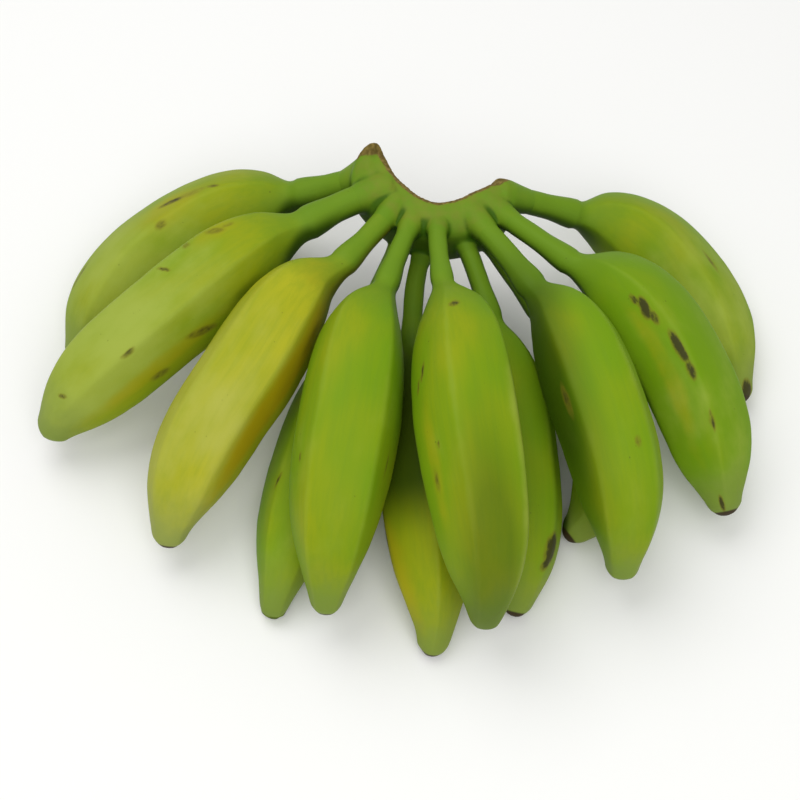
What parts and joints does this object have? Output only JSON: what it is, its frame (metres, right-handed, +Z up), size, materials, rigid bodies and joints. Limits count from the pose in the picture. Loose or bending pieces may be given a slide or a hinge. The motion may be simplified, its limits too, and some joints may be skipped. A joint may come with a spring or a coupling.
{
  "type": "hand of plantains",
  "caption": "Hand of green cooking plantains lying palm down, its ridged fingers fanning out in rows from one torn, crescent-shaped crown.",
  "frame": {"origin": "on the table, under the middle of the hand", "axes": "+X along the hand's width, to the right as seen from the finger tips; -Y the way the fingers point; +Z up"},
  "size_m": [0.3286, 0.2322, 0.0967],
  "materials": {
    "crown": "fibrous green stem, brown where it was torn",
    "green_peel": "waxy green peel, satin",
    "yellow_peel": "waxy peel turning yellow, satin"
  },
  "bodies": {
    "root": {"crown": "crown", "finger_01": "green_peel", "finger_02": "green_peel", "finger_03": "yellow_peel", "finger_04": "green_peel", "finger_05": "green_peel", "finger_06": "green_peel", "finger_07": "green_peel", "finger_08": "green_peel", "finger_09": "green_peel", "finger_10": "green_peel", "finger_11": "green_peel", "finger_12": "green_peel"}
  },
  "joints": []
}
